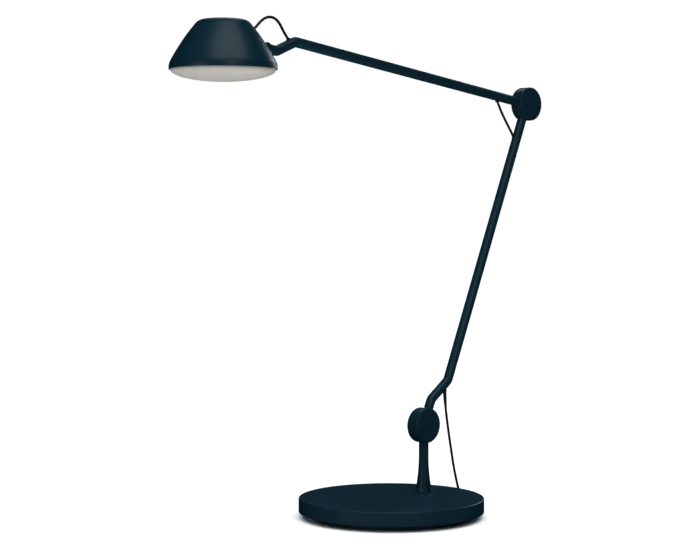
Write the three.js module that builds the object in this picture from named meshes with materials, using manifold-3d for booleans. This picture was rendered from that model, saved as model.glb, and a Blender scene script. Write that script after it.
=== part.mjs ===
// Architect desk lamp: a weighted disc base, a fixed off-centre post, two tubular arms joined by
// flat friction hinges, and a spun shade with an opal diffuser. Millimetres, +Z up.
// The origin is the centre of the base's underside. The arms fold in the XZ plane: the elbow
// is towards +X and the shade towards -X. Every hinge turns about an axis along Y.
import * as THREE from "three";
import { mergeVertices } from "three/addons/utils/BufferGeometryUtils.js";
import Module from "manifold-3d";

const wasm = await Module();
wasm.setup();

// ---- Driving dimensions ---------------------------------------------------------------------
const GAP = 0.3; // running and assembly gap between neighbouring pieces

const BASE_RADIUS = 120;
const BASE_TOP = 25.5;
const COVER_BOTTOM = 7.7;
const COVER_WALL = 3;
const COVER_BEVEL = 1.2;
const FOOT_RADIUS = 106;
const PAD_RADIUS = 104.5;
const PAD_HEIGHT = 1.5;
const FOOT_SCREW_CIRCLE = 85;
const FOOT_SCREWS = 4;

const TUBE_RADIUS = 6.33;
const TUBE_BORE = 4.8;
const LEAD_RADIUS = 1.7;
const LEAD_HOLE = LEAD_RADIUS + GAP + 0.1;

const DISC_RADIUS = 22.9; // the lower hinge and the elbow
const DISC_STACK = 17.7; // both half discs and the gap between them
const DISC_EDGE = 1.5;
const SMALL_DISC_RADIUS = 7; // the shade hinge
const SMALL_DISC_STACK = 13;

const LOWER_HINGE = [60.9, 113.7]; // hinge centres and tube corners are [x, z] at y = 0
const ELBOW = [267.2, 542.4];
const SHADE_HINGE = [-218, 590.8];
const LOWER_BENDS = [[75.1, 146.6], [107.2, 169.5]];
const UPPER_BENDS = [[-168.6, 601.4], [-199.1, 588.5]];
const LOWER_BEND_RADIUS = 14;
const UPPER_BEND_RADIUS = 10;

// Sides of a turned piece: large ones seen from outside, hinge discs, small hardware, screws.
const LARGE = 40;
const DISC = 28;
const SMALL = 16;
const TINY = 10;

const SHADE_X = -283;
const RIM_Z = 562;
const RIM_RADIUS = 64.1;
const CROWN_Z = 620.8;
const CROWN_FLAT_RADIUS = 19.5;
const SHOULDER_RADIUS = 19;
const SHADE_WALL = 1.2;
const DIFFUSER_RADIUS = 62.3;
const DIFFUSER_DROP = 13.7;
const BUTTON_RADIUS = 7;

// ---- Colours and finishes -------------------------------------------------------------------
const finish = (color, roughness, metalness) => () =>
  new THREE.MeshStandardMaterial({ color, roughness, metalness });
const paint = finish(0x0e2630, 0.42, 0.1);
const castIron = finish(0x4a4a4a, 0.8, 0.6);
const steel = finish(0xb4b7ba, 0.35, 1);
const aluminium = finish(0xc4c6c8, 0.4, 1);
const blackPlastic = finish(0x111214, 0.55, 0);
const leadJacket = finish(0x0b0b0c, 0.6, 0);
const felt = finish(0x1c1e20, 0.95, 0);
const fibre = finish(0x6a5a45, 0.8, 0);
const opal = finish(0xd8d4cc, 0.45, 0);
const whiteEnamel = finish(0xf1f1ee, 0.5, 0);
const boardGreen = finish(0x1f5b3c, 0.5, 0);
const brass = finish(0xb08d4a, 0.35, 1);

// ---- Solids and shapes ----------------------------------------------------------------------
// A closed triangle mesh with shared vertices, without the slivers left on a lathe's axis.
function weld(geometry) {
  const bare = geometry.clone();
  bare.deleteAttribute("normal");
  bare.deleteAttribute("uv");
  const merged = mergeVertices(bare, 1e-4);
  const corners = merged.index.array;
  const kept = [];
  for (let i = 0; i < corners.length; i += 3) {
    const [a, b, c] = [corners[i], corners[i + 1], corners[i + 2]];
    if (a !== b && b !== c && c !== a) kept.push(a, b, c);
  }
  merged.setIndex(kept);
  return merged;
}

function solid(geometry) {
  const merged = weld(geometry);
  const vertProperties = new Float32Array(merged.attributes.position.array);
  const triVerts = new Uint32Array(merged.index.array);
  return new wasm.Manifold(new wasm.Mesh({ numProp: 3, vertProperties, triVerts }));
}

function geometryOf(body) {
  const { vertProperties, triVerts } = body.getMesh();
  const geometry = new THREE.BufferGeometry();
  geometry.setAttribute("position", new THREE.BufferAttribute(vertProperties, 3));
  geometry.setIndex(new THREE.BufferAttribute(triVerts, 1));
  return geometry;
}

const join = (first, ...others) => others.reduce((body, other) => body.add(other), first);
const cut = (first, ...tools) => tools.reduce((body, tool) => body.subtract(tool), first);

const xz = ([x, z]) => new THREE.Vector3(x, 0, z);

// Turns a closed [radius, height] profile about Y. It runs counter-clockwise.
function turnedAboutY(profile, segments) {
  const points = profile.map(([r, y]) => new THREE.Vector2(r, y));
  return new THREE.LatheGeometry(points, segments);
}

function turnedAboutZ(profile, segments) {
  return turnedAboutY(profile, segments).rotateX(Math.PI / 2);
}

const discProfile = (radius, low, high) => [[0, low], [radius, low], [radius, high], [0, high]];
const ringProfile = (inner, outer, low, high) => [
  [inner, low], [outer, low], [outer, high], [inner, high], [inner, low],
];

// Points on an arc in a [radius, height] profile, angles in degrees from the outward direction.
function arc(centre, radius, from, to, steps) {
  const points = [];
  for (let i = 0; i <= steps; i += 1) {
    const angle = THREE.MathUtils.degToRad(from + ((to - from) * i) / steps);
    points.push([centre[0] + radius * Math.cos(angle), centre[1] + radius * Math.sin(angle)]);
  }
  return points;
}

// A path that is sampled only at its stations, so straight stretches take no extra sections.
class StationPath extends THREE.Curve {
  constructor(stations) {
    super();
    this.stations = stations;
  }

  getPointAt(u, target = new THREE.Vector3()) {
    return target.copy(this.stations[Math.round(u * (this.stations.length - 1))]);
  }

  getTangentAt(u, target = new THREE.Vector3()) {
    const last = this.stations.length - 1;
    const here = Math.round(u * last);
    const ahead = this.stations[Math.min(here + 1, last)];
    const behind = this.stations[Math.max(here - 1, 0)];
    const at = this.stations[here];
    target.set(0, 0, 0);
    if (here < last) target.add(ahead.clone().sub(at).normalize());
    if (here > 0) target.add(at.clone().sub(behind).normalize());
    return target.normalize();
  }
}

// Stations along straight stretches joined by arcs of one bend radius.
function bentRoute(corners, bendRadius, arcSteps = 4) {
  const stations = [corners[0]];
  for (let i = 1; i < corners.length - 1; i += 1) {
    const corner = corners[i];
    const back = corners[i - 1].clone().sub(corner).normalize();
    const on = corners[i + 1].clone().sub(corner).normalize();
    const half = back.angleTo(on) / 2;
    const reach = bendRadius / Math.tan(half);
    const inward = back.clone().add(on).normalize();
    const centre = corner.clone().addScaledVector(inward, bendRadius / Math.sin(half));
    const start = corner.clone().addScaledVector(back, reach).sub(centre);
    const end = corner.clone().addScaledVector(on, reach).sub(centre);
    const sweep = start.angleTo(end);
    for (let k = 0; k <= arcSteps; k += 1) {
      const t = k / arcSteps;
      const point = start.clone().multiplyScalar(Math.sin((1 - t) * sweep));
      point.addScaledVector(end, Math.sin(t * sweep)).divideScalar(Math.sin(sweep));
      stations.push(point.add(centre));
    }
  }
  stations.push(corners.at(-1));
  return stations;
}

function roundSection(radius, sides) {
  const corners = [];
  for (let i = 0; i < sides; i += 1) {
    const angle = (2 * Math.PI * i) / sides;
    corners.push(new THREE.Vector2(radius * Math.cos(angle), radius * Math.sin(angle)));
  }
  return new THREE.Shape(corners);
}

function sweep(section, path, steps) {
  return new THREE.ExtrudeGeometry(section, { steps, bevelEnabled: false, extrudePath: path });
}

function tube(stations, radius, sides) {
  return sweep(roundSection(radius, sides), new StationPath(stations), stations.length - 1);
}

// A straight round rod between two points.
function rod(from, to, radius, sides = TINY) {
  return tube([from, to], radius, sides);
}

// A lead through hand-laid points, as a smooth curve.
function lead(points, steps) {
  const route = new THREE.CatmullRomCurve3(points.map(([x, y, z]) => new THREE.Vector3(x, y, z)));
  return sweep(roundSection(LEAD_RADIUS, 8), route, steps);
}

function hexPrism(acrossFlats, low, high) {
  const cornerRadius = acrossFlats / 2 / Math.cos(Math.PI / 6);
  return turnedAboutY(discProfile(cornerRadius, low, high), 6);
}

const model = new THREE.Group();

function place(parent, name, geometry, material) {
  const mesh = new THREE.Mesh(weld(geometry), material());
  mesh.name = name;
  parent.add(mesh);
  return mesh;
}

// ---- Base -----------------------------------------------------------------------------------
const POST_BORE = 4.1;
const BOLT_SHANK = 3.8;
const BOLT_HEAD_RADIUS = 6.5;
const BALLAST_BOTTOM = COVER_BOTTOM + 0.6;
const BALLAST_TOP = BASE_TOP - COVER_WALL - GAP;
const FOOT_TOP = BALLAST_BOTTOM - GAP;
const FOOT_BOTTOM = PAD_HEIGHT + GAP;
const BOLT_HEAD_TOP = 15;
const BOLT_HEAD_HEIGHT = 6;
const BOLT_REACH = 22; // above the base's top, inside the post
const BOLT_POCKET = BOLT_HEAD_RADIUS + 3;
const BOLT_WASHER = 1; // its thickness

// A vertical rod at one place on the base.
function uprightRod(x, y, radius, low, high, sides = SMALL) {
  return turnedAboutZ(discProfile(radius, low, high), sides).translate(x, y, 0);
}

function baseCover() {
  const inside = BASE_RADIUS - COVER_WALL;
  const shell = turnedAboutZ([
    [0, BASE_TOP - COVER_WALL],
    [inside, BASE_TOP - COVER_WALL],
    [inside, COVER_BOTTOM],
    [BASE_RADIUS, COVER_BOTTOM],
    [BASE_RADIUS, BASE_TOP - COVER_BEVEL],
    [BASE_RADIUS - COVER_BEVEL, BASE_TOP],
    [0, BASE_TOP],
  ], LARGE);
  const boltHole = uprightRod(LOWER_HINGE[0], 0, POST_BORE, COVER_BOTTOM, BASE_TOP + 1);
  return geometryOf(cut(solid(shell), solid(boltHole)));
}

function footScrewPlaces() {
  const places = [];
  for (let i = 0; i < FOOT_SCREWS; i += 1) {
    const angle = ((i + 0.5) * 2 * Math.PI) / FOOT_SCREWS;
    places.push([FOOT_SCREW_CIRCLE * Math.cos(angle), FOOT_SCREW_CIRCLE * Math.sin(angle)]);
  }
  return places;
}

const SCREW_HEAD = 4.4;
const SCREW_HEAD_RIM = 0.5;
const SCREW_CONE_TOP = 2.8;
const SCREW_SHANK = 2.1;
const SCREW_LENGTH = 16;

function footScrew() {
  return turnedAboutZ([
    [0, 0], [SCREW_HEAD, 0], [SCREW_HEAD, SCREW_HEAD_RIM], [SCREW_SHANK, SCREW_CONE_TOP],
    [SCREW_SHANK, SCREW_LENGTH], [0, SCREW_LENGTH],
  ], TINY);
}

function ballast() {
  const radius = BASE_RADIUS - COVER_WALL - 1;
  const body = solid(turnedAboutZ(discProfile(radius, BALLAST_BOTTOM, BALLAST_TOP), DISC));
  const holes = footScrewPlaces().map(([x, y]) =>
    solid(uprightRod(x, y, SCREW_SHANK + GAP, 0, FOOT_BOTTOM + SCREW_LENGTH + 1, TINY)));
  const boltHole = solid(uprightRod(LOWER_HINGE[0], 0, POST_BORE, 0, BASE_TOP));
  const pocketTop = BOLT_HEAD_TOP + BOLT_WASHER + 2 * GAP;
  const headPocket = solid(uprightRod(LOWER_HINGE[0], 0, BOLT_POCKET, 0, pocketTop));
  return geometryOf(cut(body, ...holes, boltHole, headPocket));
}

function footPlate() {
  const body = solid(turnedAboutZ(discProfile(FOOT_RADIUS, FOOT_BOTTOM, FOOT_TOP), LARGE));
  const seat = turnedAboutZ([
    [0, -1], [SCREW_HEAD + GAP, -1], [SCREW_HEAD + GAP, SCREW_HEAD_RIM + GAP + 0.1],
    [SCREW_SHANK + GAP, SCREW_CONE_TOP + GAP], [SCREW_SHANK + GAP, SCREW_LENGTH],
    [0, SCREW_LENGTH],
  ], TINY).translate(0, 0, FOOT_BOTTOM);
  const seats = footScrewPlaces().map(([x, y]) => solid(seat.clone().translate(x, y, 0)));
  const access = solid(uprightRod(LOWER_HINGE[0], 0, BOLT_POCKET, 0, BALLAST_TOP));
  return geometryOf(cut(body, ...seats, access));
}

// Bolt from below, through the ballast and the cover, into the post.
function postBolt() {
  const under = BOLT_HEAD_TOP - BOLT_HEAD_HEIGHT;
  const tip = BASE_TOP + BOLT_REACH;
  return turnedAboutZ([
    [0, under], [BOLT_HEAD_RADIUS, under], [BOLT_HEAD_RADIUS, BOLT_HEAD_TOP],
    [BOLT_SHANK, BOLT_HEAD_TOP], [BOLT_SHANK, tip], [0, tip],
  ], SMALL);
}

const base = new THREE.Group();
model.add(base);
place(base, "base_pad", turnedAboutZ(discProfile(PAD_RADIUS, 0, PAD_HEIGHT), LARGE), felt);
place(base, "base_foot_plate", footPlate(), paint);
place(base, "base_ballast", ballast(), castIron);
place(base, "base_cover", baseCover(), paint);
footScrewPlaces().forEach(([x, y], i) => {
  place(base, `base_screw_${i + 1}`, footScrew(), steel).position.set(x, y, FOOT_BOTTOM + GAP);
});
place(base, "post_bolt", postBolt(), steel).position.x = LOWER_HINGE[0];
const washerLow = BOLT_HEAD_TOP + GAP;
const boltWasher = turnedAboutZ(
  ringProfile(BOLT_SHANK + GAP, BOLT_HEAD_RADIUS + 2, washerLow, washerLow + BOLT_WASHER), SMALL);
place(base, "post_washer", boltWasher, steel).position.x = LOWER_HINGE[0];

// ---- Hinges ---------------------------------------------------------------------------------
// A hinge is two half discs, front (-Y) and rear (+Y). A stud is fixed in the front one and
// passes through the rear one, where a spring washer and a nut press them on a friction washer.
const HALF = GAP / 2;
const STUD_RADIUS = 3.8;
const STUD_HOLE = STUD_RADIUS + GAP;
const FRICTION_RADIUS = 15;
const FRICTION_HALF = 0.9;
const NUT_POCKET_RADIUS = 11;
const NUT_POCKET_FLOOR = 3.6;
const REAR_FACE = DISC_STACK / 2;
const STUD_FRONT = -5.7; // ends of the stud, from the hinge's middle
const STUD_REAR = 7.1;
const SPRING_OUTER = 9;
const SPRING_CONE = 0.5;
const SPRING_THICKNESS = 0.6;
const NUT_FLATS = 13;
const NUT_HEIGHT = 1.9;
const CAP_FLOOR = 7.5;
const ROOM_DEPTH = 20; // of the cut that clears the other half disc
const ROOM_GAP = 2 * GAP;

function halfDisc(radius, stack, edge, rear) {
  const face = stack / 2;
  const rim = arc([radius - edge, face - edge], edge, 0, 90, 2);
  const disc = turnedAboutY([[0, HALF], [radius, HALF], ...rim, [0, face]], DISC);
  return solid(rear ? disc : disc.rotateX(Math.PI));
}

// What a hinge removes from one arm: the other half disc's room, then its own inner sockets.
function otherHalfRoom([x, z], radius, rear) {
  const low = rear ? -ROOM_DEPTH : -HALF;
  const high = rear ? HALF : ROOM_DEPTH;
  return solid(turnedAboutY(discProfile(radius + ROOM_GAP, low, high), DISC).translate(x, 0, z));
}

function hingeSockets([x, z], rear) {
  const recess = discProfile(FRICTION_RADIUS + GAP, -FRICTION_HALF - GAP, FRICTION_HALF + GAP);
  const tools = [turnedAboutY(recess, DISC)];
  if (rear) {
    tools.push(turnedAboutY(discProfile(STUD_HOLE, -1, REAR_FACE), SMALL));
    tools.push(turnedAboutY(discProfile(NUT_POCKET_RADIUS, NUT_POCKET_FLOOR, REAR_FACE + 1), DISC));
  } else {
    tools.push(turnedAboutY(discProfile(STUD_HOLE, STUD_FRONT - GAP, 1), SMALL));
  }
  return tools.map((tool) => solid(tool.translate(x, 0, z)));
}

function hingeHardware(prefix, [x, z]) {
  const group = new THREE.Group();
  group.position.set(x, 0, z);
  const stud = turnedAboutY(discProfile(STUD_RADIUS, STUD_FRONT, STUD_REAR), SMALL);
  const washer = turnedAboutY(
    ringProfile(STUD_HOLE, FRICTION_RADIUS, -FRICTION_HALF, FRICTION_HALF), SMALL);
  const floor = NUT_POCKET_FLOOR + GAP;
  const springInner = floor + SPRING_CONE;
  const spring = turnedAboutY([
    [STUD_HOLE, springInner], [SPRING_OUTER, floor], [SPRING_OUTER, floor + SPRING_THICKNESS],
    [STUD_HOLE, springInner + SPRING_THICKNESS], [STUD_HOLE, springInner],
  ], SMALL);
  const nutLow = springInner + SPRING_THICKNESS + GAP;
  const nutBlank = solid(hexPrism(NUT_FLATS, nutLow, nutLow + NUT_HEIGHT));
  const nutHole = solid(turnedAboutY(discProfile(STUD_HOLE, 0, REAR_FACE), SMALL));
  const cap = turnedAboutY(discProfile(NUT_POCKET_RADIUS - GAP, CAP_FLOOR, REAR_FACE - 0.1), DISC);
  place(group, `${prefix}_stud`, stud, steel);
  place(group, `${prefix}_friction_washer`, washer, fibre);
  place(group, `${prefix}_spring_washer`, spring, steel);
  place(group, `${prefix}_nut`, geometryOf(cut(nutBlank, nutHole)), steel);
  place(group, `${prefix}_cap`, cap, paint);
  model.add(group);
}

// ---- Post -----------------------------------------------------------------------------------
// A round post with a trumpet foot. Its top carries the rear half of the lower hinge.
function post() {
  const foot = BASE_TOP + GAP;
  const [x, z] = LOWER_HINGE;
  const stem = turnedAboutZ([
    [0, foot], [11, foot], [10.6, foot + 2], [9.8, 33], [9, 39], [8.1, 46], [7.2, 55], [6.6, 66],
    [TUBE_RADIUS + 0.1, 82], [TUBE_RADIUS + 0.1, z], [0, z],
  ], SMALL).translate(x, 0, 0);
  const plate = halfDisc(DISC_RADIUS, DISC_STACK, DISC_EDGE, true).translate([x, 0, z]);
  const trimmed = cut(solid(stem), otherHalfRoom(LOWER_HINGE, DISC_RADIUS, true));
  const thread = solid(uprightRod(x, 0, POST_BORE, 0, BASE_TOP + BOLT_REACH + 2));
  return geometryOf(cut(join(trimmed, plate), ...hingeSockets(LOWER_HINGE, true), thread));
}

place(base, "post", post(), paint);
hingeHardware("lower_hinge", LOWER_HINGE);

// ---- Arms -----------------------------------------------------------------------------------
const toward = (from, to, distance) =>
  from.clone().addScaledVector(to.clone().sub(from).normalize(), distance);

// Where the leads leave the tubes, [x, z], and which way.
const LEAD_EXIT = [101.3, 157];
const EXIT_WAY = [0.08, -1];
const LINK_LOW = [240.6, 495.6];
const LINK_LOW_WAY = [-0.58, 0.81];
const LINK_HIGH = [206, 544.4];
const LINK_HIGH_WAY = [0.5, -0.87];
const LOOP_START = [-179.4, 603.4];
const LOOP_START_WAY = [-0.62, 0.78];
const BUSH_WALL = 0.6;
const GROMMET_RADIUS = LEAD_HOLE + BUSH_WALL + GAP;
const HOLE_DEPTH = 6; // of a lead hole, in from its mouth
const BORE_STOP = DISC_RADIUS + 5; // the tubes are solid nearer a hinge than this

// A round hole from the tube's bore out through its wall, where a lead leaves it.
function leadHole([x, z], [dx, dz]) {
  const mouth = new THREE.Vector3(x, 0, z);
  const out = new THREE.Vector3(dx, 0, dz).normalize();
  const from = mouth.clone().addScaledVector(out, -HOLE_DEPTH);
  return solid(rod(from, mouth.clone().addScaledVector(out, HOLE_DEPTH - 1), GROMMET_RADIUS));
}

function lowerArm() {
  const corners = [xz(LOWER_HINGE), ...LOWER_BENDS.map(xz), xz(ELBOW)];
  const outer = solid(tube(bentRoute(corners, LOWER_BEND_RADIUS), TUBE_RADIUS, SMALL));
  const boreStart = toward(corners[1], corners[2], 10);
  const boreEnd = toward(corners[3], corners[2], BORE_STOP);
  const boreRoute = bentRoute([boreStart, corners[2], boreEnd], LOWER_BEND_RADIUS);
  const bore = solid(tube(boreRoute, TUBE_BORE, TINY));
  const hollow = cut(
    outer, bore,
    otherHalfRoom(LOWER_HINGE, DISC_RADIUS, false), otherHalfRoom(ELBOW, DISC_RADIUS, false),
    leadHole(LEAD_EXIT, EXIT_WAY), leadHole(LINK_LOW, LINK_LOW_WAY));
  const plates = [LOWER_HINGE, ELBOW].map(([x, z]) =>
    halfDisc(DISC_RADIUS, DISC_STACK, DISC_EDGE, false).translate([x, 0, z]));
  const sockets = [...hingeSockets(LOWER_HINGE, false), ...hingeSockets(ELBOW, false)];
  return geometryOf(cut(join(hollow, ...plates), ...sockets));
}

// The shade hinge is smaller: a shoulder screw from the rear half into the front one.
const PIN_RADIUS = 2.3;
const PIN_FRONT = -4.9;
const PIN_SHOULDER = 3.7;
const PIN_HEAD_TOP = 6;
const PIN_HEAD_RADIUS = 4.2;
const SMALL_WASHER_HALF = 0.6;
const SMALL_WASHER_RADIUS = 5.4;
const SMALL_FACE = SMALL_DISC_STACK / 2;

function smallHingeSockets([x, z], rear) {
  const depth = SMALL_WASHER_HALF + GAP;
  const recess = turnedAboutY(discProfile(SMALL_WASHER_RADIUS + GAP, -depth, depth), SMALL);
  const [low, high] = rear ? [-1, SMALL_FACE + 1] : [PIN_FRONT - GAP, 1];
  const tools = [recess, turnedAboutY(discProfile(PIN_RADIUS + GAP, low, high), TINY)];
  const headRoom = discProfile(PIN_HEAD_RADIUS + GAP, PIN_SHOULDER - GAP, SMALL_FACE + 1);
  if (rear) tools.push(turnedAboutY(headRoom, SMALL));
  return tools.map((tool) => solid(tool.translate(x, 0, z)));
}

function upperArm() {
  const corners = [xz(ELBOW), ...UPPER_BENDS.map(xz), xz(SHADE_HINGE)];
  const outer = solid(tube(bentRoute(corners, UPPER_BEND_RADIUS), TUBE_RADIUS, SMALL));
  const boreStart = toward(corners[0], corners[1], BORE_STOP);
  const boreEnd = toward(corners[1], corners[2], 22);
  const boreRoute = bentRoute([boreStart, corners[1], boreEnd], UPPER_BEND_RADIUS);
  const bore = solid(tube(boreRoute, TUBE_BORE, TINY));
  const hollow = cut(
    outer, bore,
    otherHalfRoom(ELBOW, DISC_RADIUS, true), otherHalfRoom(SHADE_HINGE, SMALL_DISC_RADIUS, false),
    leadHole(LINK_HIGH, LINK_HIGH_WAY), leadHole(LOOP_START, LOOP_START_WAY));
  const [ex, ez] = ELBOW;
  const [sx, sz] = SHADE_HINGE;
  const large = halfDisc(DISC_RADIUS, DISC_STACK, DISC_EDGE, true).translate([ex, 0, ez]);
  const small = halfDisc(SMALL_DISC_RADIUS, SMALL_DISC_STACK, 1, false).translate([sx, 0, sz]);
  const sockets = [...hingeSockets(ELBOW, true), ...smallHingeSockets(SHADE_HINGE, false)];
  return geometryOf(cut(join(hollow, large, small), ...sockets));
}

place(model, "lower_arm", lowerArm(), paint);
place(model, "upper_arm", upperArm(), paint);
hingeHardware("elbow", ELBOW);

// A thin bush in each lead hole. A longer, tapered one takes the strain of the mains lead.
const BUSH_INSIDE = 1.2;
const BUSH_OUTSIDE = 0.9;
const BUSH_TIP = 2.6;
const RELIEF_LENGTH = 20;
const RELIEF_TIP = 2.35;
function bush([x, z], [dx, dz], inside, outside, tipRadius) {
  const rootRadius = GROMMET_RADIUS - GAP;
  const sleeve = turnedAboutY([
    [LEAD_HOLE, -inside], [rootRadius, -inside], [rootRadius, 0], [tipRadius, outside],
    [LEAD_HOLE, outside], [LEAD_HOLE, -inside],
  ], TINY);
  const turn = new THREE.Quaternion().setFromUnitVectors(
    new THREE.Vector3(0, 1, 0), new THREE.Vector3(dx, 0, dz).normalize());
  return sleeve.applyQuaternion(turn).translate(x, 0, z);
}

const grommet = (mouth, way) => bush(mouth, way, BUSH_INSIDE, BUSH_OUTSIDE, BUSH_TIP);
const strainRelief = bush(LEAD_EXIT, EXIT_WAY, BUSH_INSIDE, RELIEF_LENGTH, RELIEF_TIP);
place(model, "mains_strain_relief", strainRelief, blackPlastic);
place(model, "lower_arm_grommet", grommet(LINK_LOW, LINK_LOW_WAY), blackPlastic);
place(model, "upper_arm_grommet_rear", grommet(LINK_HIGH, LINK_HIGH_WAY), blackPlastic);
place(model, "upper_arm_grommet_front", grommet(LOOP_START, LOOP_START_WAY), blackPlastic);

// ---- Shade ----------------------------------------------------------------------------------
const shade = new THREE.Group();
shade.position.x = SHADE_X;
model.add(shade);

// Outline of the shade from the rim up to the crown, moved in by an offset.
const FLANK_ANGLE = 33;
function shadeOutline(offset, crownRadius) {
  const shoulder = [CROWN_FLAT_RADIUS, CROWN_Z - SHOULDER_RADIUS];
  return [
    [RIM_RADIUS - offset, RIM_Z],
    [RIM_RADIUS - offset - 0.3, RIM_Z + 5.2],
    [RIM_RADIUS - offset - 1.5, RIM_Z + 8.8],
    [57.7 - offset, 581],
    [51.6 - offset, 590.4],
    [44.6 - offset, 600.2],
    ...arc(shoulder, SHOULDER_RADIUS - offset, FLANK_ANGLE, 90, 4),
    [crownRadius, CROWN_Z - offset],
  ];
}

const CROWN_HOLE = 9.5;
const NECK_RADIUS = 5;
const NECK_END = 37.5; // the neck and its collar run along X, measured from the shade's axis
const COLLAR_RADIUS = NECK_RADIUS + 1.3;
const COLLAR_END = 57.5;
const NECK_NUT = [38.4, 41.4];
const INSIDE_X = 30; // well inside the shade's wall
const GROMMET_PLACE = [-242.2 - SHADE_X, 605.5];
const GROMMET_WAY = [0.77, 0.64];

function shadeShell() {
  const outer = shadeOutline(0, CROWN_HOLE);
  const inner = shadeOutline(SHADE_WALL, CROWN_HOLE).reverse();
  const shell = solid(turnedAboutZ([...outer, ...inner, outer[0]], LARGE));
  const hinge = SHADE_HINGE[0] - SHADE_X;
  const [outside, within] = [hinge, INSIDE_X].map((x) => xz([x, SHADE_HINGE[1]]));
  const neckHole = solid(rod(outside, within, NECK_RADIUS + GAP));
  return geometryOf(cut(shell, neckHole, leadHole(GROMMET_PLACE, GROMMET_WAY)));
}

// The shade's half of the small hinge, with a threaded neck through the shade's wall.
function shadeKnuckle() {
  const [x, z] = [SHADE_HINGE[0] - SHADE_X, SHADE_HINGE[1]];
  const neck = solid(rod(xz([x - 2, z]), xz([NECK_END, z]), NECK_RADIUS));
  const collar = solid(rod(xz([x - 2, z]), xz([COLLAR_END, z]), COLLAR_RADIUS));
  const trimmed = cut(join(neck, collar), otherHalfRoom([x, z], SMALL_DISC_RADIUS, true));
  const plate = halfDisc(SMALL_DISC_RADIUS, SMALL_DISC_STACK, 1, true).translate([x, 0, z]);
  return geometryOf(cut(join(trimmed, plate), ...smallHingeSockets([x, z], true)));
}

function shadeNut() {
  const prism = hexPrism(NUT_FLATS, ...NECK_NUT).rotateZ(-Math.PI / 2);
  const blank = solid(prism.translate(0, 0, SHADE_HINGE[1]));
  const [start, end] = [INSIDE_X, NECK_NUT[1] + 5].map((x) => xz([x, SHADE_HINGE[1]]));
  const hole = solid(rod(start, end, NECK_RADIUS + GAP));
  return geometryOf(cut(blank, hole));
}

// Opal bowl, half an ellipse in section, with a collar that stands inside the rim.
function diffuser() {
  const wall = 2;
  const outside = [];
  const inside = [];
  const steps = 6;
  for (let i = 0; i <= steps; i += 1) {
    const angle = ((1 - i / steps) * Math.PI) / 2;
    const [across, down] = [Math.cos(angle), Math.sin(angle)];
    outside.push([DIFFUSER_RADIUS * across, RIM_Z - DIFFUSER_DROP * down]);
    inside.push([(DIFFUSER_RADIUS - wall) * across, RIM_Z - (DIFFUSER_DROP - wall) * down]);
  }
  outside[0][0] = 0;
  inside[0][0] = 0;
  const collarTop = RIM_Z + 4;
  const collar = [[DIFFUSER_RADIUS, collarTop], [DIFFUSER_RADIUS - wall, collarTop]];
  return turnedAboutZ([...outside, ...collar, ...inside.reverse()], LARGE);
}

const COIL_SPRING_TURNS = 3;
const COIL_SPRING_RADIUS = 5.2;
const SPRING_WIRE_RADIUS = 0.45;
const SPRING_LOW = 606;
const SPRING_HIGH = 612;

class SpringPath extends THREE.Curve {
  getPoint(t, target = new THREE.Vector3()) {
    const angle = 2 * Math.PI * COIL_SPRING_TURNS * t;
    const height = THREE.MathUtils.lerp(SPRING_LOW, SPRING_HIGH, t);
    return target.set(Math.cos(angle), Math.sin(angle), 0)
      .multiplyScalar(COIL_SPRING_RADIUS).setZ(height);
  }
}

// Heights inside the shade, from the light source up to the driver board.
const LED_BOARD_BOTTOM = 584.1;
const SINK_BOTTOM = 586;
const SINK_PLATE_TOP = SINK_BOTTOM + 3.5;
const SINK_TOP = 600;
const BOARD_TOP = 605.2;
const BOARD_THICKNESS = 1.6;
const SINK_RADIUS = 36;
const RIB_PITCH = 12;
const RIB = 2;

// Finned disc that takes the heat of the light source: concentric ribs on a plate.
function heatSink() {
  const profile = [[0, SINK_BOTTOM], [SINK_RADIUS, SINK_BOTTOM]];
  for (let outer = SINK_RADIUS; outer > RIB_PITCH; outer -= RIB_PITCH) {
    profile.push([outer, SINK_TOP], [outer - RIB, SINK_TOP], [outer - RIB, SINK_PLATE_TOP]);
    if (outer - RIB_PITCH > RIB_PITCH) profile.push([outer - RIB_PITCH, SINK_PLATE_TOP]);
  }
  profile.push([0, SINK_PLATE_TOP]);
  return turnedAboutZ(profile, DISC);
}

const CHIPS = 8;
const CHIP_RING_RADIUS = 24;
const CHIP_SIZE = [3.6, 3, 1.4];
const BOARD_SCREWS = 3;
const BOARD_SCREW_CIRCLE = 15;
const BOARD_SCREW_HEAD = [2.8, 581.6, 583.8]; // radius, underside and top
const BOARD_SCREW_SHANK = [1.5, 588.4]; // radius and tip

// Board with a ring of light-emitting chips on its underside.
function ledBoard() {
  const chips = [];
  for (let i = 0; i < CHIPS; i += 1) {
    const chip = new THREE.BoxGeometry(...CHIP_SIZE);
    chip.translate(CHIP_RING_RADIUS, 0, LED_BOARD_BOTTOM - 0.5);
    chips.push(solid(chip.rotateZ((2 * Math.PI * i) / CHIPS)));
  }
  const board = turnedAboutZ(discProfile(SINK_RADIUS - 0.5, LED_BOARD_BOTTOM, SINK_BOTTOM - GAP), DISC);
  const holeRadius = BOARD_SCREW_SHANK[0] + GAP;
  const holes = boardScrewPlaces().map(([x, y]) =>
    solid(uprightRod(x, y, holeRadius, LED_BOARD_BOTTOM - 1, SINK_BOTTOM + 1, TINY)));
  return geometryOf(cut(join(solid(board), ...chips), ...holes));
}

function boardScrewPlaces() {
  const places = [];
  for (let i = 0; i < BOARD_SCREWS; i += 1) {
    const angle = ((i + 0.25) * 2 * Math.PI) / BOARD_SCREWS;
    places.push([BOARD_SCREW_CIRCLE * Math.cos(angle), BOARD_SCREW_CIRCLE * Math.sin(angle)]);
  }
  return places;
}

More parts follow.
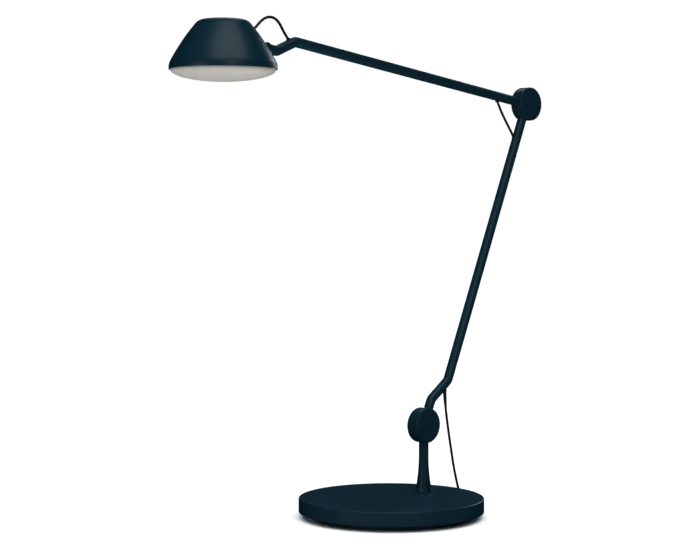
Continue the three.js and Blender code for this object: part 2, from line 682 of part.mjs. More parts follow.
function boardScrew() {
  const [headRadius, low, under] = BOARD_SCREW_HEAD;
  const [shankRadius, tip] = BOARD_SCREW_SHANK;
  return turnedAboutZ([
    [0, low], [headRadius, low], [headRadius, under], [shankRadius, under], [shankRadius, tip],
    [0, tip],
  ], TINY);
}

// The heat sink has blind holes for the board's screws.
function drilledHeatSink() {
  const [shankRadius, tip] = BOARD_SCREW_SHANK;
  const holes = boardScrewPlaces().map(([x, y]) =>
    solid(uprightRod(x, y, shankRadius + GAP, SINK_BOTTOM - 1, tip + GAP, TINY)));
  return geometryOf(cut(solid(heatSink()), ...holes));
}

// Driver board on four short legs that stand on the heat sink, with its two tallest parts.
const DRIVER_RADIUS = 28;
const DRIVER_LEGS = [[-20, 12], [20, -12], [12, 20], [-12, -20]];
const LEG_RADIUS = 1.2;
const CAPACITOR = { x: 15, y: 8, radius: 4, height: 8 };
const CHOKE = { x: -16, y: -6, size: [10, 8, 7] };

function driverBoard() {
  const low = BOARD_TOP - 1; // the parts are sunk a little into the board
  const profile = discProfile(DRIVER_RADIUS, BOARD_TOP - BOARD_THICKNESS, BOARD_TOP);
  const board = solid(turnedAboutZ(profile, DISC));
  const { x, y, radius, height } = CAPACITOR;
  const capacitor = solid(uprightRod(x, y, radius, low, BOARD_TOP + height, TINY));
  const block = new THREE.BoxGeometry(...CHOKE.size);
  const choke = solid(block.translate(CHOKE.x, CHOKE.y, low + CHOKE.size[2] / 2));
  const legs = DRIVER_LEGS.map(([legX, legY]) =>
    solid(uprightRod(legX, legY, LEG_RADIUS, SINK_TOP + GAP, low, 6)));
  return geometryOf(join(board, capacitor, choke, ...legs));
}

const BUTTON_STEM = [1.6, 609.6]; // radius and underside
const BUTTON_SKIRT = [BUTTON_RADIUS + 1.4, 612.9, 615.6]; // radius, underside and top
const BUTTON_TOP = CROWN_Z + 0.6;

function dimmerButton() {
  const [stem, stemLow] = BUTTON_STEM;
  const [skirt, skirtLow, skirtTop] = BUTTON_SKIRT;
  return turnedAboutZ([
    [0, stemLow], [stem, stemLow], [stem, skirtLow], [skirt, skirtLow], [skirt, skirtTop],
    [BUTTON_RADIUS, skirtTop], [BUTTON_RADIUS, BUTTON_TOP - 0.8],
    [BUTTON_RADIUS - 0.6, BUTTON_TOP - 0.2], [0, BUTTON_TOP],
  ], SMALL);
}

// Ring in the crown's hole. Its lip keeps the button's skirt in.
function buttonBezel() {
  const bore = BUTTON_RADIUS + GAP;
  const flange = CROWN_HOLE + 2.5;
  const low = BUTTON_SKIRT[2] + 1;
  const under = CROWN_Z - SHADE_WALL - GAP;
  return turnedAboutZ([
    [bore, low], [flange, low], [flange, under], [CROWN_HOLE - GAP, under],
    [CROWN_HOLE - GAP, CROWN_Z + GAP], [bore, CROWN_Z + GAP], [bore, low],
  ], SMALL);
}

// White cone from the light source to the diffuser.
const REFLECTOR_TOP = [37.2, 581.6]; // [radius, height] of its inner edges
const REFLECTOR_RIM = [59.2, 566.6];
const REFLECTOR_WALL = 0.8;
const reflector = turnedAboutZ([
  REFLECTOR_TOP, REFLECTOR_RIM, [REFLECTOR_RIM[0] + REFLECTOR_WALL, REFLECTOR_RIM[1] + REFLECTOR_WALL],
  [REFLECTOR_TOP[0] + REFLECTOR_WALL, REFLECTOR_TOP[1] + REFLECTOR_WALL], REFLECTOR_TOP,
], LARGE);
const diffuserRing = turnedAboutZ(ringProfile(60.4, 61.5, RIM_Z + 4.4, RIM_Z + 7.5), LARGE);

place(shade, "shade_shell", shadeShell(), paint);
place(shade, "shade_knuckle", shadeKnuckle(), paint);
place(shade, "shade_neck_nut", shadeNut(), steel);
place(shade, "diffuser", diffuser(), opal);
place(shade, "diffuser_ring", diffuserRing, whiteEnamel);
place(shade, "reflector", reflector, whiteEnamel);
place(shade, "led_board", ledBoard(), whiteEnamel);
place(shade, "heat_sink", drilledHeatSink(), aluminium);
boardScrewPlaces().forEach(([x, y], i) => {
  place(shade, `led_board_screw_${i + 1}`, boardScrew(), steel).position.set(x, y, 0);
});
place(shade, "driver_board", driverBoard(), boardGreen);
const switchBody = new THREE.BoxGeometry(6, 6, 2.6).translate(0, 0, BOARD_TOP + GAP + 1.3);
place(shade, "dimmer_switch", switchBody, blackPlastic);
const spring = sweep(roundSection(SPRING_WIRE_RADIUS, 5), new SpringPath(), COIL_SPRING_TURNS * 10);
place(shade, "button_spring", spring, steel);
place(shade, "dimmer_button", dimmerButton(), paint);
place(shade, "button_bezel", buttonBezel(), paint);
place(shade, "shade_grommet", grommet(GROMMET_PLACE, GROMMET_WAY), blackPlastic);

const pin = turnedAboutY([
  [0, PIN_FRONT], [PIN_RADIUS, PIN_FRONT], [PIN_RADIUS, PIN_SHOULDER],
  [PIN_HEAD_RADIUS, PIN_SHOULDER], [PIN_HEAD_RADIUS, PIN_HEAD_TOP], [0, PIN_HEAD_TOP],
], SMALL);
const smallWasher = turnedAboutY(
  ringProfile(PIN_RADIUS + GAP, SMALL_WASHER_RADIUS, -SMALL_WASHER_HALF, SMALL_WASHER_HALF), SMALL);
const smallHinge = new THREE.Group();
smallHinge.position.set(SHADE_HINGE[0], 0, SHADE_HINGE[1]);
model.add(smallHinge);
place(smallHinge, "shade_hinge_screw", pin, steel);
place(smallHinge, "shade_hinge_washer", smallWasher, fibre);

// ---- Leads ----------------------------------------------------------------------------------
// Runs inside the two tubes, then the free stretches over the elbow and over the shade hinge.
const lowerRun = bentRoute(
  [xz([101.2, 161.5]), xz([101.8, 165.7]), xz(LOWER_BENDS[1]), xz([245.8, 492.6])], 3);
const upperRun = bentRoute([xz([205.8, 550.7]), xz(UPPER_BENDS[0]), xz([-177, 598])], 8);
place(model, "lower_arm_lead", tube(lowerRun, LEAD_RADIUS, 8), leadJacket);
place(model, "upper_arm_lead", tube(upperRun, LEAD_RADIUS, 8), leadJacket);

const ELBOW_LEAD = [
  [204.9, 0, 546.4], [206, 0, 544.4], [208.4, 0, 540], [212.6, 0, 533], [217.4, 0, 526],
  [222.6, 0, 519], [228.1, 0, 512], [233.4, 0, 505.4], [238.2, 0, 499], [240.6, 0, 495.6],
  [241.8, 0, 493.9],
];
place(model, "elbow_lead", lead(ELBOW_LEAD, 10), leadJacket);

const SHADE_LEAD = [
  [-178.2, 0, 601.9], [-179.4, 0, 603.4], [-183.2, 0, 608], [-186.7, 0, 612.1],
  [-189.8, 0, 616.4], [-193.1, 0, 621], [-198, 0, 625.5], [-203.4, 0, 628], [-208.6, 0, 628.7],
  [-213.6, 0, 628], [-218.3, 0, 626.2], [-222.7, 0, 623.4], [-227, 0, 619.8], [-231.3, 0, 615.8],
  [-236.6, 0, 610.7], [-242.2, 0, 605.5], [-243.6, 0, 604.3],
];
place(model, "shade_lead", lead(SHADE_LEAD, 18), leadJacket);

// Mains lead: falls behind the base to the table, then a coil and a flat two-pin plug.
const COIL_CENTRE = [104, 112];
const COIL_TURN_RADIUS = 20;
const COIL_ROWS = 3;
const COIL_LAYERS = 4;
const LAYER_PITCH = 2 * LEAD_RADIUS;
const coilHalfWidth = COIL_ROWS * LEAD_RADIUS;
const TABLE_CLEARANCE = 0.05; // nothing on the lead touches the table's plane

const MAINS_LEAD = [
  [101.2, 0, 158.6], [101.5, 0, 154], [102.2, 0, 146], [102.9, 0, 137.8], [105.3, 0, 121.6],
  [109.4, 0, 99.8], [114, 0, 78], [118.8, 0, 56.2], [123, 0, 41], [127, 0, 28], [131.5, 0, 16.5],
  [137.5, 1, 7.5], [145.5, 5.5, 2.8], [152.5, 14, 1.75], [156, 26, 1.75], [156.5, 40, 1.75],
  [153.5, 55, 1.75], [148.5, 69, 1.75], [143, 81, 1.75], [137.2, 92.4, 1.75], [131.6, 102.6, 1.75],
];
place(model, "mains_lead", lead(MAINS_LEAD, 32), leadJacket);

const coil = turnedAboutZ(ringProfile(
  COIL_TURN_RADIUS - coilHalfWidth, COIL_TURN_RADIUS + coilHalfWidth,
  TABLE_CLEARANCE, COIL_LAYERS * LAYER_PITCH + TABLE_CLEARANCE), 20);
place(model, "mains_lead_coil", coil, leadJacket).position.set(COIL_CENTRE[0], COIL_CENTRE[1], 0);

const MAINS_TAIL = [[96.4, 138.2, 10.6], [91.6, 139.5, 9.2], [86.6, 140.9, 7.9], [82.3, 142.1, 7]];
place(model, "mains_lead_tail", lead(MAINS_TAIL, 6), leadJacket);

// Flat two-pin plug. Its own +X runs from the lead to the pins.
const PLUG_ENTRY = [82, 142.2];
const PLUG_TURN = THREE.MathUtils.degToRad(165);
const PLUG_LENGTH = 36;
const PLUG_THICKNESS = 13.7;
const PIN_SPACING = 19;
const PIN_SOCKET = 8;
const PIN_REACH = 19;
const PIN_ROD_RADIUS = 2;
const PLUG_OUTLINE = [
  [0, -5], [10, -7], [22, -17.6], [PLUG_LENGTH, -17.6],
  [PLUG_LENGTH, 17.6], [22, 17.6], [10, 7], [0, 5],
];

const pinPlaces = [-PIN_SPACING / 2, PIN_SPACING / 2];
const plugAxis = TABLE_CLEARANCE + PLUG_THICKNESS / 2;

function plugBody() {
  const outline = new THREE.Shape(PLUG_OUTLINE.map(([x, y]) => new THREE.Vector2(x, y)));
  const block = new THREE.ExtrudeGeometry(outline, { depth: PLUG_THICKNESS, bevelEnabled: false });
  const socketStart = PLUG_LENGTH - PIN_SOCKET;
  const sockets = pinPlaces.map((y) => solid(plugPinRod(y, socketStart, PIN_ROD_RADIUS + GAP)));
  return geometryOf(cut(solid(block.translate(0, 0, TABLE_CLEARANCE)), ...sockets));
}

function plugPinRod(y, from, radius) {
  const start = new THREE.Vector3(from, y, plugAxis);
  const end = new THREE.Vector3(PLUG_LENGTH + PIN_REACH, y, plugAxis);
  return rod(start, end, radius);
}

const plug = new THREE.Group();
plug.position.set(PLUG_ENTRY[0], PLUG_ENTRY[1], 0);
plug.rotation.z = PLUG_TURN;
model.add(plug);
place(plug, "plug_body", plugBody(), blackPlastic);
pinPlaces.forEach((y, i) => {
  const pinStart = PLUG_LENGTH - PIN_SOCKET + GAP;
  place(plug, `plug_pin_${i + 1}`, plugPinRod(y, pinStart, PIN_ROD_RADIUS), brass);
});

export default model;
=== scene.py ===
# Architect desk lamp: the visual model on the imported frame. Shapes are written in millimetres
# and made in metres; +Z is up, the arms fold in the XZ plane, the shade is towards -X.
import math

import bpy
import bmesh
from mathutils import Matrix, Vector


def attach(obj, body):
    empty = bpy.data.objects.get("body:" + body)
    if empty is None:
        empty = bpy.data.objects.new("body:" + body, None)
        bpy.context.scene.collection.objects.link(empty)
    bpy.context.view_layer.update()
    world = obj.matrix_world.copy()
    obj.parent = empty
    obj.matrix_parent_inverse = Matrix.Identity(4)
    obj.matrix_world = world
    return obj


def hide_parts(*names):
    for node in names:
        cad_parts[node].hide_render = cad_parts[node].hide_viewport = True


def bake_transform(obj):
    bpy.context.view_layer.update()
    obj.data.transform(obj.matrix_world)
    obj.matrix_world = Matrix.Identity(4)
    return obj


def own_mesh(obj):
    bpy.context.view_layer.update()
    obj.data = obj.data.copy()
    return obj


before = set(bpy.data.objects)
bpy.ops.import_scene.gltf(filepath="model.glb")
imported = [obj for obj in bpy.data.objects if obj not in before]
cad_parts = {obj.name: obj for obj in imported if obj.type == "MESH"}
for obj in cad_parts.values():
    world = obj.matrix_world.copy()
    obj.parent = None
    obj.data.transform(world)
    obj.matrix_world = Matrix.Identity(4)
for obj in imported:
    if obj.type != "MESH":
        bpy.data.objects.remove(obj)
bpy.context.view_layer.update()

MM = 0.001

# ---- Dimensions shared with the CAD part -----------------------------------------------------
GAP = 0.3
BASE_RADIUS = 120
BASE_TOP = 25.5
COVER_BOTTOM = 7.7
COVER_WALL = 3
FOOT_RADIUS = 106
FOOT_BOTTOM = 1.8
FOOT_TOP = 8
PAD_RADIUS = 104.5
PAD_HEIGHT = 1.5
TUBE_RADIUS = 6.33
LEAD_RADIUS = 1.7
DISC_RADIUS = 22.9
DISC_FACE = 8.85
DISC_EDGE = 1.6
SMALL_DISC_RADIUS = 7
SMALL_FACE = 6.5
SMALL_DISC_EDGE = 1.2
LOWER_HINGE = (60.9, 0, 113.7)
ELBOW = (267.2, 0, 542.4)
SHADE_HINGE = (-218, 0, 590.8)
LOWER_BENDS = [(75.1, 0, 146.6), (107.2, 0, 169.5)]
UPPER_BENDS = [(-168.6, 0, 601.4), (-199.1, 0, 588.5)]
LOWER_BEND_RADIUS = 14
UPPER_BEND_RADIUS = 10
SHADE_X = -283
RIM_Z = 562
CROWN_Z = 620.8
SHADE_WALL = 1.2
BUTTON_RADIUS = 7
DIFFUSER_RADIUS = 62.3
DIFFUSER_DROP = 14
LEAD_EXIT = (101.3, 0, 157)
EXIT_WAY = (0.08, 0, -1)

FINE = 144  # sides of a large turned piece
MEDIUM = 64
SMALL = 40
LARGEST = 192  # of the base and the shade

# ---- Camera ----------------------------------------------------------------------------------
CAMERA_PLACE = (-1678.1, -1637.3, 403.9)
CAMERA_TURN = -44.40
CAMERA_PITCH = 2.16
CAMERA_LENS = 93.69


def add_camera():
    data = bpy.data.cameras.new("camera")
    data.lens = CAMERA_LENS
    data.sensor_width = 36
    data.clip_end = 300
    camera = bpy.data.objects.new("camera", data)
    camera.location = Vector(CAMERA_PLACE) * MM
    camera.rotation_euler = (math.radians(90 - CAMERA_PITCH), 0, math.radians(CAMERA_TURN))
    bpy.context.scene.collection.objects.link(camera)
    bpy.context.scene.camera = camera


add_camera()


# ---- Finishes --------------------------------------------------------------------------------
def texture(tree, kind, scale, stretch=(1, 1, 1), detail=3):
    """A noise or cell texture in object space. Its scale is in features per metre."""
    coords = tree.nodes.new("ShaderNodeTexCoord")
    mapping = tree.nodes.new("ShaderNodeMapping")
    mapping.inputs["Scale"].default_value = stretch
    node = tree.nodes.new(kind)
    node.inputs["Scale"].default_value = scale
    node.inputs["Detail"].default_value = detail
    tree.links.new(coords.outputs["Object"], mapping.inputs["Vector"])
    tree.links.new(mapping.outputs["Vector"], node.inputs["Vector"])
    return node.outputs["Fac" if kind == "ShaderNodeTexNoise" else "Distance"]


def finish(name, slot, colours, rough, mottle=30, grain=900, depth=0.02, cells=False,
           stretch=(1, 1, 1), **fixed):
    """A procedural finish: mottled colour, uneven gloss and a fine relief, depth in millimetres."""
    made = bpy.data.materials.new(name)
    made.use_nodes = True
    tree = made.node_tree
    shader = tree.nodes["Principled BSDF"]
    ramp = tree.nodes.new("ShaderNodeValToRGB")
    ramp.color_ramp.elements[0].position = 0.3
    ramp.color_ramp.elements[1].position = 0.7
    for element, colour in zip(ramp.color_ramp.elements, colours):
        element.color = (*colour, 1)
    tree.links.new(texture(tree, "ShaderNodeTexNoise", mottle, stretch), ramp.inputs["Fac"])
    tree.links.new(ramp.outputs["Color"], shader.inputs["Base Color"])
    spread = tree.nodes.new("ShaderNodeMapRange")
    spread.inputs["To Min"].default_value = rough[0]
    spread.inputs["To Max"].default_value = rough[1]
    gloss = texture(tree, "ShaderNodeTexNoise", mottle * 4, stretch)
    tree.links.new(gloss, spread.inputs["Value"])
    tree.links.new(spread.outputs["Result"], shader.inputs["Roughness"])
    bump = tree.nodes.new("ShaderNodeBump")
    bump.inputs["Distance"].default_value = depth * MM
    kind = "ShaderNodeTexVoronoi" if cells else "ShaderNodeTexNoise"
    tree.links.new(texture(tree, kind, grain, stretch), bump.inputs["Height"])
    tree.links.new(bump.outputs["Normal"], shader.inputs["Normal"])
    for socket, value in fixed.items():
        shader.inputs[socket.replace("_", " ")].default_value = value
    return made, slot


PAINT = finish("petrol_paint", "paint", [(0.0012, 0.0124, 0.0215), (0.0016, 0.0138, 0.0237)],
               (0.30, 0.38), mottle=18, grain=1400, depth=0.012, Specular_IOR_Level=0.3)
IRON = finish("cast_iron", "cast_iron", [(0.05, 0.05, 0.052), (0.09, 0.088, 0.085)],
              (0.65, 0.85), grain=500, depth=0.2, cells=True, Metallic=0.7)
STEEL = finish("turned_steel", "steel", [(0.48, 0.49, 0.5), (0.58, 0.59, 0.6)],
               (0.24, 0.38), grain=2500, depth=0.008, stretch=(1, 12, 1), Metallic=1.0)
ALUMINIUM = finish("spun_aluminium", "aluminium", [(0.6, 0.61, 0.62), (0.7, 0.71, 0.72)],
                   (0.3, 0.45), grain=2200, depth=0.01, stretch=(1, 1, 10), Metallic=1.0)
BLACK = finish("black_moulding", "black_plastic", [(0.006, 0.006, 0.007), (0.010, 0.010, 0.011)],
               (0.45, 0.6), grain=1600, depth=0.03, cells=True)
JACKET = finish("lead_jacket", "lead_jacket", [(0.003, 0.003, 0.0035), (0.006, 0.006, 0.007)],
                (0.42, 0.55), mottle=60, grain=1800, depth=0.015)
PAD = finish("pad_rubber", "pad", [(0.008, 0.009, 0.010), (0.014, 0.015, 0.016)],
             (0.85, 0.97), grain=2400, depth=0.06)
FIBRE = finish("friction_fibre", "fibre", [(0.10, 0.07, 0.04), (0.17, 0.12, 0.07)],
               (0.75, 0.9), mottle=300, grain=2000, depth=0.05)
OPAL = finish("opal_diffuser", "opal", [(0.225, 0.204, 0.184), (0.240, 0.218, 0.197)],
              (0.28, 0.36), mottle=12, grain=500, depth=0.004, Subsurface_Weight=0.25,
              Subsurface_Scale=0.004)
ENAMEL = finish("white_enamel", "white_enamel", [(0.80, 0.80, 0.78), (0.86, 0.86, 0.84)],
                (0.4, 0.5), grain=900, depth=0.01)
BOARD = finish("circuit_board", "board", [(0.010, 0.09, 0.045), (0.018, 0.13, 0.065)],
               (0.35, 0.5), mottle=400, grain=700, depth=0.04, cells=True)
BRASS = finish("turned_brass", "brass", [(0.45, 0.32, 0.12), (0.55, 0.40, 0.17)],
               (0.22, 0.34), grain=2500, depth=0.008, stretch=(10, 1, 1), Metallic=1.0)


# ---- Shapes: each is (points, faces) in millimetres ------------------------------------------
def eased(profile, steps=6):
    """A [radius, height] profile whose corners with a third number are rounded by that much."""
    points = []
    for i, corner in enumerate(profile):
        here = Vector(corner[:2])
        if len(corner) < 3 or i in (0, len(profile) - 1):
            points.append(tuple(here))
            continue
        back = Vector(profile[i - 1][:2]) - here
        on = Vector(profile[i + 1][:2]) - here
        ease = min(corner[2], 0.4 * back.length, 0.4 * on.length)
        start = here + back.normalized() * ease
        end = here + on.normalized() * ease
        points.append(tuple(start + back.normalized() * ease * 0.12))
        for k in range(steps + 1):
            t = k / steps
            points.append(tuple(start * (1 - t) ** 2 + here * 2 * t * (1 - t) + end * t * t))
        points.append(tuple(end + on.normalized() * ease * 0.12))
    return points


def lathe(profile, sides, axis="Z", centre=(0, 0, 0)):
    """Turns a profile about the Z or the Y axis through centre."""
    points, faces, rings = [], [], []
    for radius, height in profile:
        around = 1 if radius < 1e-6 else sides
        rings.append(range(len(points), len(points) + around))
        for i in range(around):
            angle = 2 * math.pi * i / around
            x, y, z = radius * math.cos(angle), radius * math.sin(angle), height
            points.append((x, z, y) if axis == "Y" else (x, y, z))
    for low, high in zip(rings, rings[1:]):
        for i in range(sides):
            j = (i + 1) % sides
            corners = [low[i % len(low)], low[j % len(low)], high[j % len(high)], high[i % len(high)]]
            face = list(dict.fromkeys(corners))
            if len(face) > 2:
                faces.append(face)
    return [tuple(Vector(p) + Vector(centre)) for p in points], faces


def curve_through(points, steps):
    """A smooth curve through points of any dimension, with steps between each two of them."""
    given = [Vector(p) for p in points]
    ends = [given[0] * 2 - given[1], *given, given[-1] * 2 - given[-2]]
    route = []
    for a, b, c, d in zip(ends, ends[1:], ends[2:], ends[3:]):
        for k in range(steps):
            t = k / steps
            route.append(0.5 * (2 * b + (c - a) * t + (2 * a - 5 * b + 4 * c - d) * t * t
                                + (3 * b - a - 3 * c + d) * t ** 3))
    return [*route, given[-1]]


def bent_route(corners, bend_radius, steps=14):
    """Stations along straight stretches joined by arcs of one bend radius."""
    given = [Vector(p) for p in corners]
    route = [given[0]]
    for before, corner, after in zip(given, given[1:], given[2:]):
        back = (before - corner).normalized()
        on = (after - corner).normalized()
        half = back.angle(on) / 2
        centre = corner + (back + on).normalized() * (bend_radius / math.sin(half))
        start = corner + back * (bend_radius / math.tan(half)) - centre
        end = corner + on * (bend_radius / math.tan(half)) - centre
        for k in range(steps + 1):
            route.append(centre + start.slerp(end, k / steps).normalized() * bend_radius)
    return [*route, given[-1]]


def swept(route, radius, sides):
    """A round bar along a route, closed at both ends."""
    route = [Vector(p) for p in route]
    points, faces = [], []
    side = None
    for i, here in enumerate(route):
        ahead = route[min(i + 1, len(route) - 1)] - here
        behind = here - route[max(i - 1, 0)]
        way = (ahead.normalized() + behind.normalized()).normalized()
        if side is None:
            side = way.orthogonal()
        side = (side - way * side.dot(way)).normalized()
        other = way.cross(side)
        for k in range(sides):
            angle = 2 * math.pi * k / sides
            points.append(tuple(here + (side * math.cos(angle) + other * math.sin(angle)) * radius))
    for i in range(len(route) - 1):
        for k in range(sides):
            j = (k + 1) % sides
            low, high = i * sides, (i + 1) * sides
            faces.append([low + k, low + j, high + j, high + k])
    faces.append(list(range(sides)))
    faces.append(list(range(len(points) - sides, len(points))))
    return points, faces


def together(*shapes):
    points, faces = [], []
    for more_points, more_faces in shapes:
        start = len(points)
        points.extend(more_points)
        faces.extend([[start + i for i in face] for face in more_faces])
    return points, faces


def aimed(shape, place, way):
    """A shape made along +Z, moved to place and turned to point along way."""
    turn = Vector((0, 0, 1)).rotation_difference(Vector(way)).to_matrix()
    points, faces = shape
    return [tuple(turn @ Vector(p) + Vector(place)) for p in points], faces


def mesh_object(name, shape, sharp=35):
    points, faces = shape
    mesh = bpy.data.meshes.new(name)
    mesh.from_pydata([Vector(p) * MM for p in points], [], faces)
    work = bmesh.new()
    work.from_mesh(mesh)
    bmesh.ops.remove_doubles(work, verts=work.verts, dist=1e-6)
    bmesh.ops.recalc_face_normals(work, faces=work.faces)
    work.to_mesh(mesh)
    work.free()
    mesh.shade_smooth()
    mesh.set_sharp_from_angle(angle=math.radians(sharp))
    obj = bpy.data.objects.new(name, mesh)
    bpy.context.scene.collection.objects.link(obj)
    return obj


def trimmed(shape, *cutters):
    """A shape with others cut away from it."""
    body = mesh_object("blank", shape)
    tools = [mesh_object("cutter", cutter) for cutter in cutters]
    for tool in tools:
        modifier = body.modifiers.new("cut", "BOOLEAN")
        modifier.operation = "DIFFERENCE"
        modifier.solver = "EXACT"
        modifier.object = tool
    seen = body.evaluated_get(bpy.context.evaluated_depsgraph_get()).to_mesh()
    points = [tuple(v.co / MM) for v in seen.vertices]
    faces = [list(p.vertices) for p in seen.polygons]
    for obj in [body, *tools]:
        bpy.data.objects.remove(obj)
    return points, faces


def piece(name, shape, look, body, *nodes):
    """A detailed piece that rides on a body and stands for CAD nodes."""
    made, slot = look
    obj = mesh_object(name, shape)
    obj.data.materials.append(made)
    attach(obj, body)
    if nodes:
        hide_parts(*nodes)
    return obj


# ---- Leads -----------------------------------------------------------------------------------
MAINS_LEAD = [
    (101.2, 0, 158.6), (101.5, 0, 154), (102.2, 0, 146), (102.9, 0, 137.8), (105.3, 0, 121.6),
    (109.4, 0, 99.8), (114, 0, 78), (118.8, 0, 56.2), (123, 0, 41), (127, 0, 28),
    (131.5, 0, 16.5), (137.5, 1, 7.5), (145.5, 5.5, 2.8), (152.5, 14, 1.75), (156, 26, 1.75),
    (156.5, 40, 1.75), (153.5, 55, 1.75), (148.5, 69, 1.75), (143, 81, 1.75),
    (137.2, 92.4, 1.75), (131.6, 102.6, 1.75),
]
MAINS_TAIL = [
    (103.4, 136.2, 11.6), (96.4, 138.2, 10.6), (91.6, 139.5, 9.2), (86.6, 140.9, 7.9),
    (82.3, 142.1, 7),
]
ELBOW_LEAD = [
    (204.9, 0, 546.4), (206, 0, 544.4), (208.4, 0, 540), (212.6, 0, 533), (217.4, 0, 526),
    (222.6, 0, 519), (228.1, 0, 512), (233.4, 0, 505.4), (238.2, 0, 499), (240.6, 0, 495.6),
    (241.8, 0, 493.9),
]
SHADE_LEAD = [
    (-178.2, 0, 601.9), (-179.4, 0, 603.4), (-183.2, 0, 608), (-186.7, 0, 612.1),
    (-189.8, 0, 616.4), (-193.1, 0, 621), (-198, 0, 625.5), (-203.4, 0, 628), (-208.6, 0, 628.7),
    (-213.6, 0, 628), (-218.3, 0, 626.2), (-222.7, 0, 623.4), (-227, 0, 619.8),
    (-231.3, 0, 615.8), (-236.6, 0, 610.7), (-242.2, 0, 605.5), (-243.6, 0, 604.3),
]
COIL_CENTRE = (104, 112)
COIL_RADII = (23.4, 20, 16.6)
COIL_LAYERS = 4
COIL_LOW = 1.75
PITCH = 2 * LEAD_RADIUS
TURN_POINTS = 36
SHIFT_FROM = 0.8  # part of a turn after which it moves over to the next one's place
LEAD_SIDES = 16
LAST_ANGLE = 75  # the lead leaves the coil's last turn here, in degrees


def coil_route():
    """Turns side by side in layers, from the outside at the bottom to the outside at the top."""
    places = []
    for layer in range(COIL_LAYERS):
        radii = COIL_RADII if layer % 2 == 0 else COIL_RADII[::-1]
        places.extend((radius, COIL_LOW + layer * PITCH) for radius in radii)
    route = []
    count = int((len(places) - 1 + LAST_ANGLE / 360) * TURN_POINTS)
    for i in range(count + 1):
        turn, part = divmod(i / TURN_POINTS, 1)
        here = Vector(places[int(turn)])
        after = Vector(places[min(int(turn) + 1, len(places) - 1)])
        t = max(0, (part - SHIFT_FROM) / (1 - SHIFT_FROM))
        radius, height = here.lerp(after, t * t * (3 - 2 * t))
        angle = 2 * math.pi * part
        x = COIL_CENTRE[0] + radius * math.cos(angle)
        y = COIL_CENTRE[1] + radius * math.sin(angle)
        route.append((x, y, height))
    return route


def lead_piece(name, route, steps, *nodes):
    """A mesh tube along a lead's route, and the route itself in metres."""
    fine = curve_through(route, steps)
    made, slot = JACKET
    obj = mesh_object(name, swept(fine, LEAD_RADIUS, LEAD_SIDES), sharp=60)
    obj.data.materials.append(made)
    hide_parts(*nodes)
    return obj, [tuple(p * MM) for p in fine]


mains, mains_path = lead_piece(
    "mains_lead_jacket", [*MAINS_LEAD, *coil_route(), *MAINS_TAIL], 3,
    "mains_lead", "mains_lead_coil", "mains_lead_tail")
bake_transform(mains)
elbow_link, elbow_path = lead_piece("elbow_lead_jacket", ELBOW_LEAD, 5, "elbow_lead")
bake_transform(elbow_link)
shade_loop, shade_path = lead_piece("shade_lead_jacket", SHADE_LEAD, 4, "shade_lead")
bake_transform(shade_loop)

# ---- Plug and tie ----------------------------------------------------------------------------
PLUG_ENTRY = (82, 142.2, 0.05)
PLUG_TURN = 165
PLUG_THICKNESS = 13.7
PLUG_LENGTH = 36
PLUG_HALF_OUTLINE = [(0, 4.2), (4, 5.2), (10, 7), (16, 11.5), (22, 17.6), (PLUG_LENGTH, 17.6)]
PLUG_MIDDLE = (24, 0)  # the layers draw in towards it
PLUG_LAYERS = 12
PLUG_INSET = 2.6
PIN_OFFSET = 9.5
PIN_RADIUS = 2
PIN_REACH = 19
SLEEVE_REACH = 10
SLEEVE_FILM = 0.05  # the metal is this much slimmer than its sleeve
PIN_ROOT = -6


def plug_turned(shape):
    turn = Matrix.Rotation(math.radians(PLUG_TURN), 3, "Z")
    points, faces = shape
    return [tuple(turn @ Vector(p) + Vector(PLUG_ENTRY)) for p in points], faces


def plug_shape():
    """A flat plug body: its outline stepped in towards both faces for a moulded edge."""
    outline = curve_through(PLUG_HALF_OUTLINE[:-1], 3) + [Vector(PLUG_HALF_OUTLINE[-1])]
    outline = [*outline, *[Vector((p.x, -p.y)) for p in reversed(outline)]]
    middle = Vector(PLUG_MIDDLE)
    layers = []
    for k in range(PLUG_LAYERS + 1):
        angle = math.pi * (k / PLUG_LAYERS - 0.5)
        inset = PLUG_INSET * (1 - abs(math.cos(angle)) ** 0.7)
        height = PLUG_THICKNESS / 2 * (1 + math.sin(angle))
        ring = []
        for p in outline:
            pull = (p - middle).normalized() * inset
            ring.append((p.x - pull.x, p.y - pull.y, height))
        layers.append(ring)
    points = [p for ring in layers for p in ring]
    around = len(outline)
    faces = [list(range(around)), list(range(len(points) - around, len(points)))]
    for k in range(len(layers) - 1):
        for i in range(around):
            j = (i + 1) % around
            low, high = k * around, (k + 1) * around
            faces.append([low + i, low + j, high + j, high + i])
    return plug_turned((points, faces))


def pin_shape(side, start, reach, radius, tip):
    """A round pin or its sleeve, from its root inside the plug to an eased tip."""
    profile = eased([(0, PIN_ROOT), (radius, PIN_ROOT), (radius, reach, tip), (0, reach)])
    shape = lathe(profile, SMALL)
    return plug_turned(aimed(shape, (start, side * PIN_OFFSET, PLUG_THICKNESS / 2), (1, 0, 0)))


plug = piece("plug_moulding", plug_shape(), BLACK, "base", "plug_body")
for number, side in ((1, -1), (2, 1)):
    pin = pin_shape(side, PLUG_LENGTH, PIN_REACH, PIN_RADIUS - SLEEVE_FILM, 1.2)
    sleeve = pin_shape(side, PLUG_LENGTH, SLEEVE_REACH, PIN_RADIUS, 0.3)
    piece(f"plug_pin_{number}_tip", pin, BRASS, "base", f"plug_pin_{number}")
    piece(f"plug_pin_{number}_sleeve", sleeve, BLACK, "base")


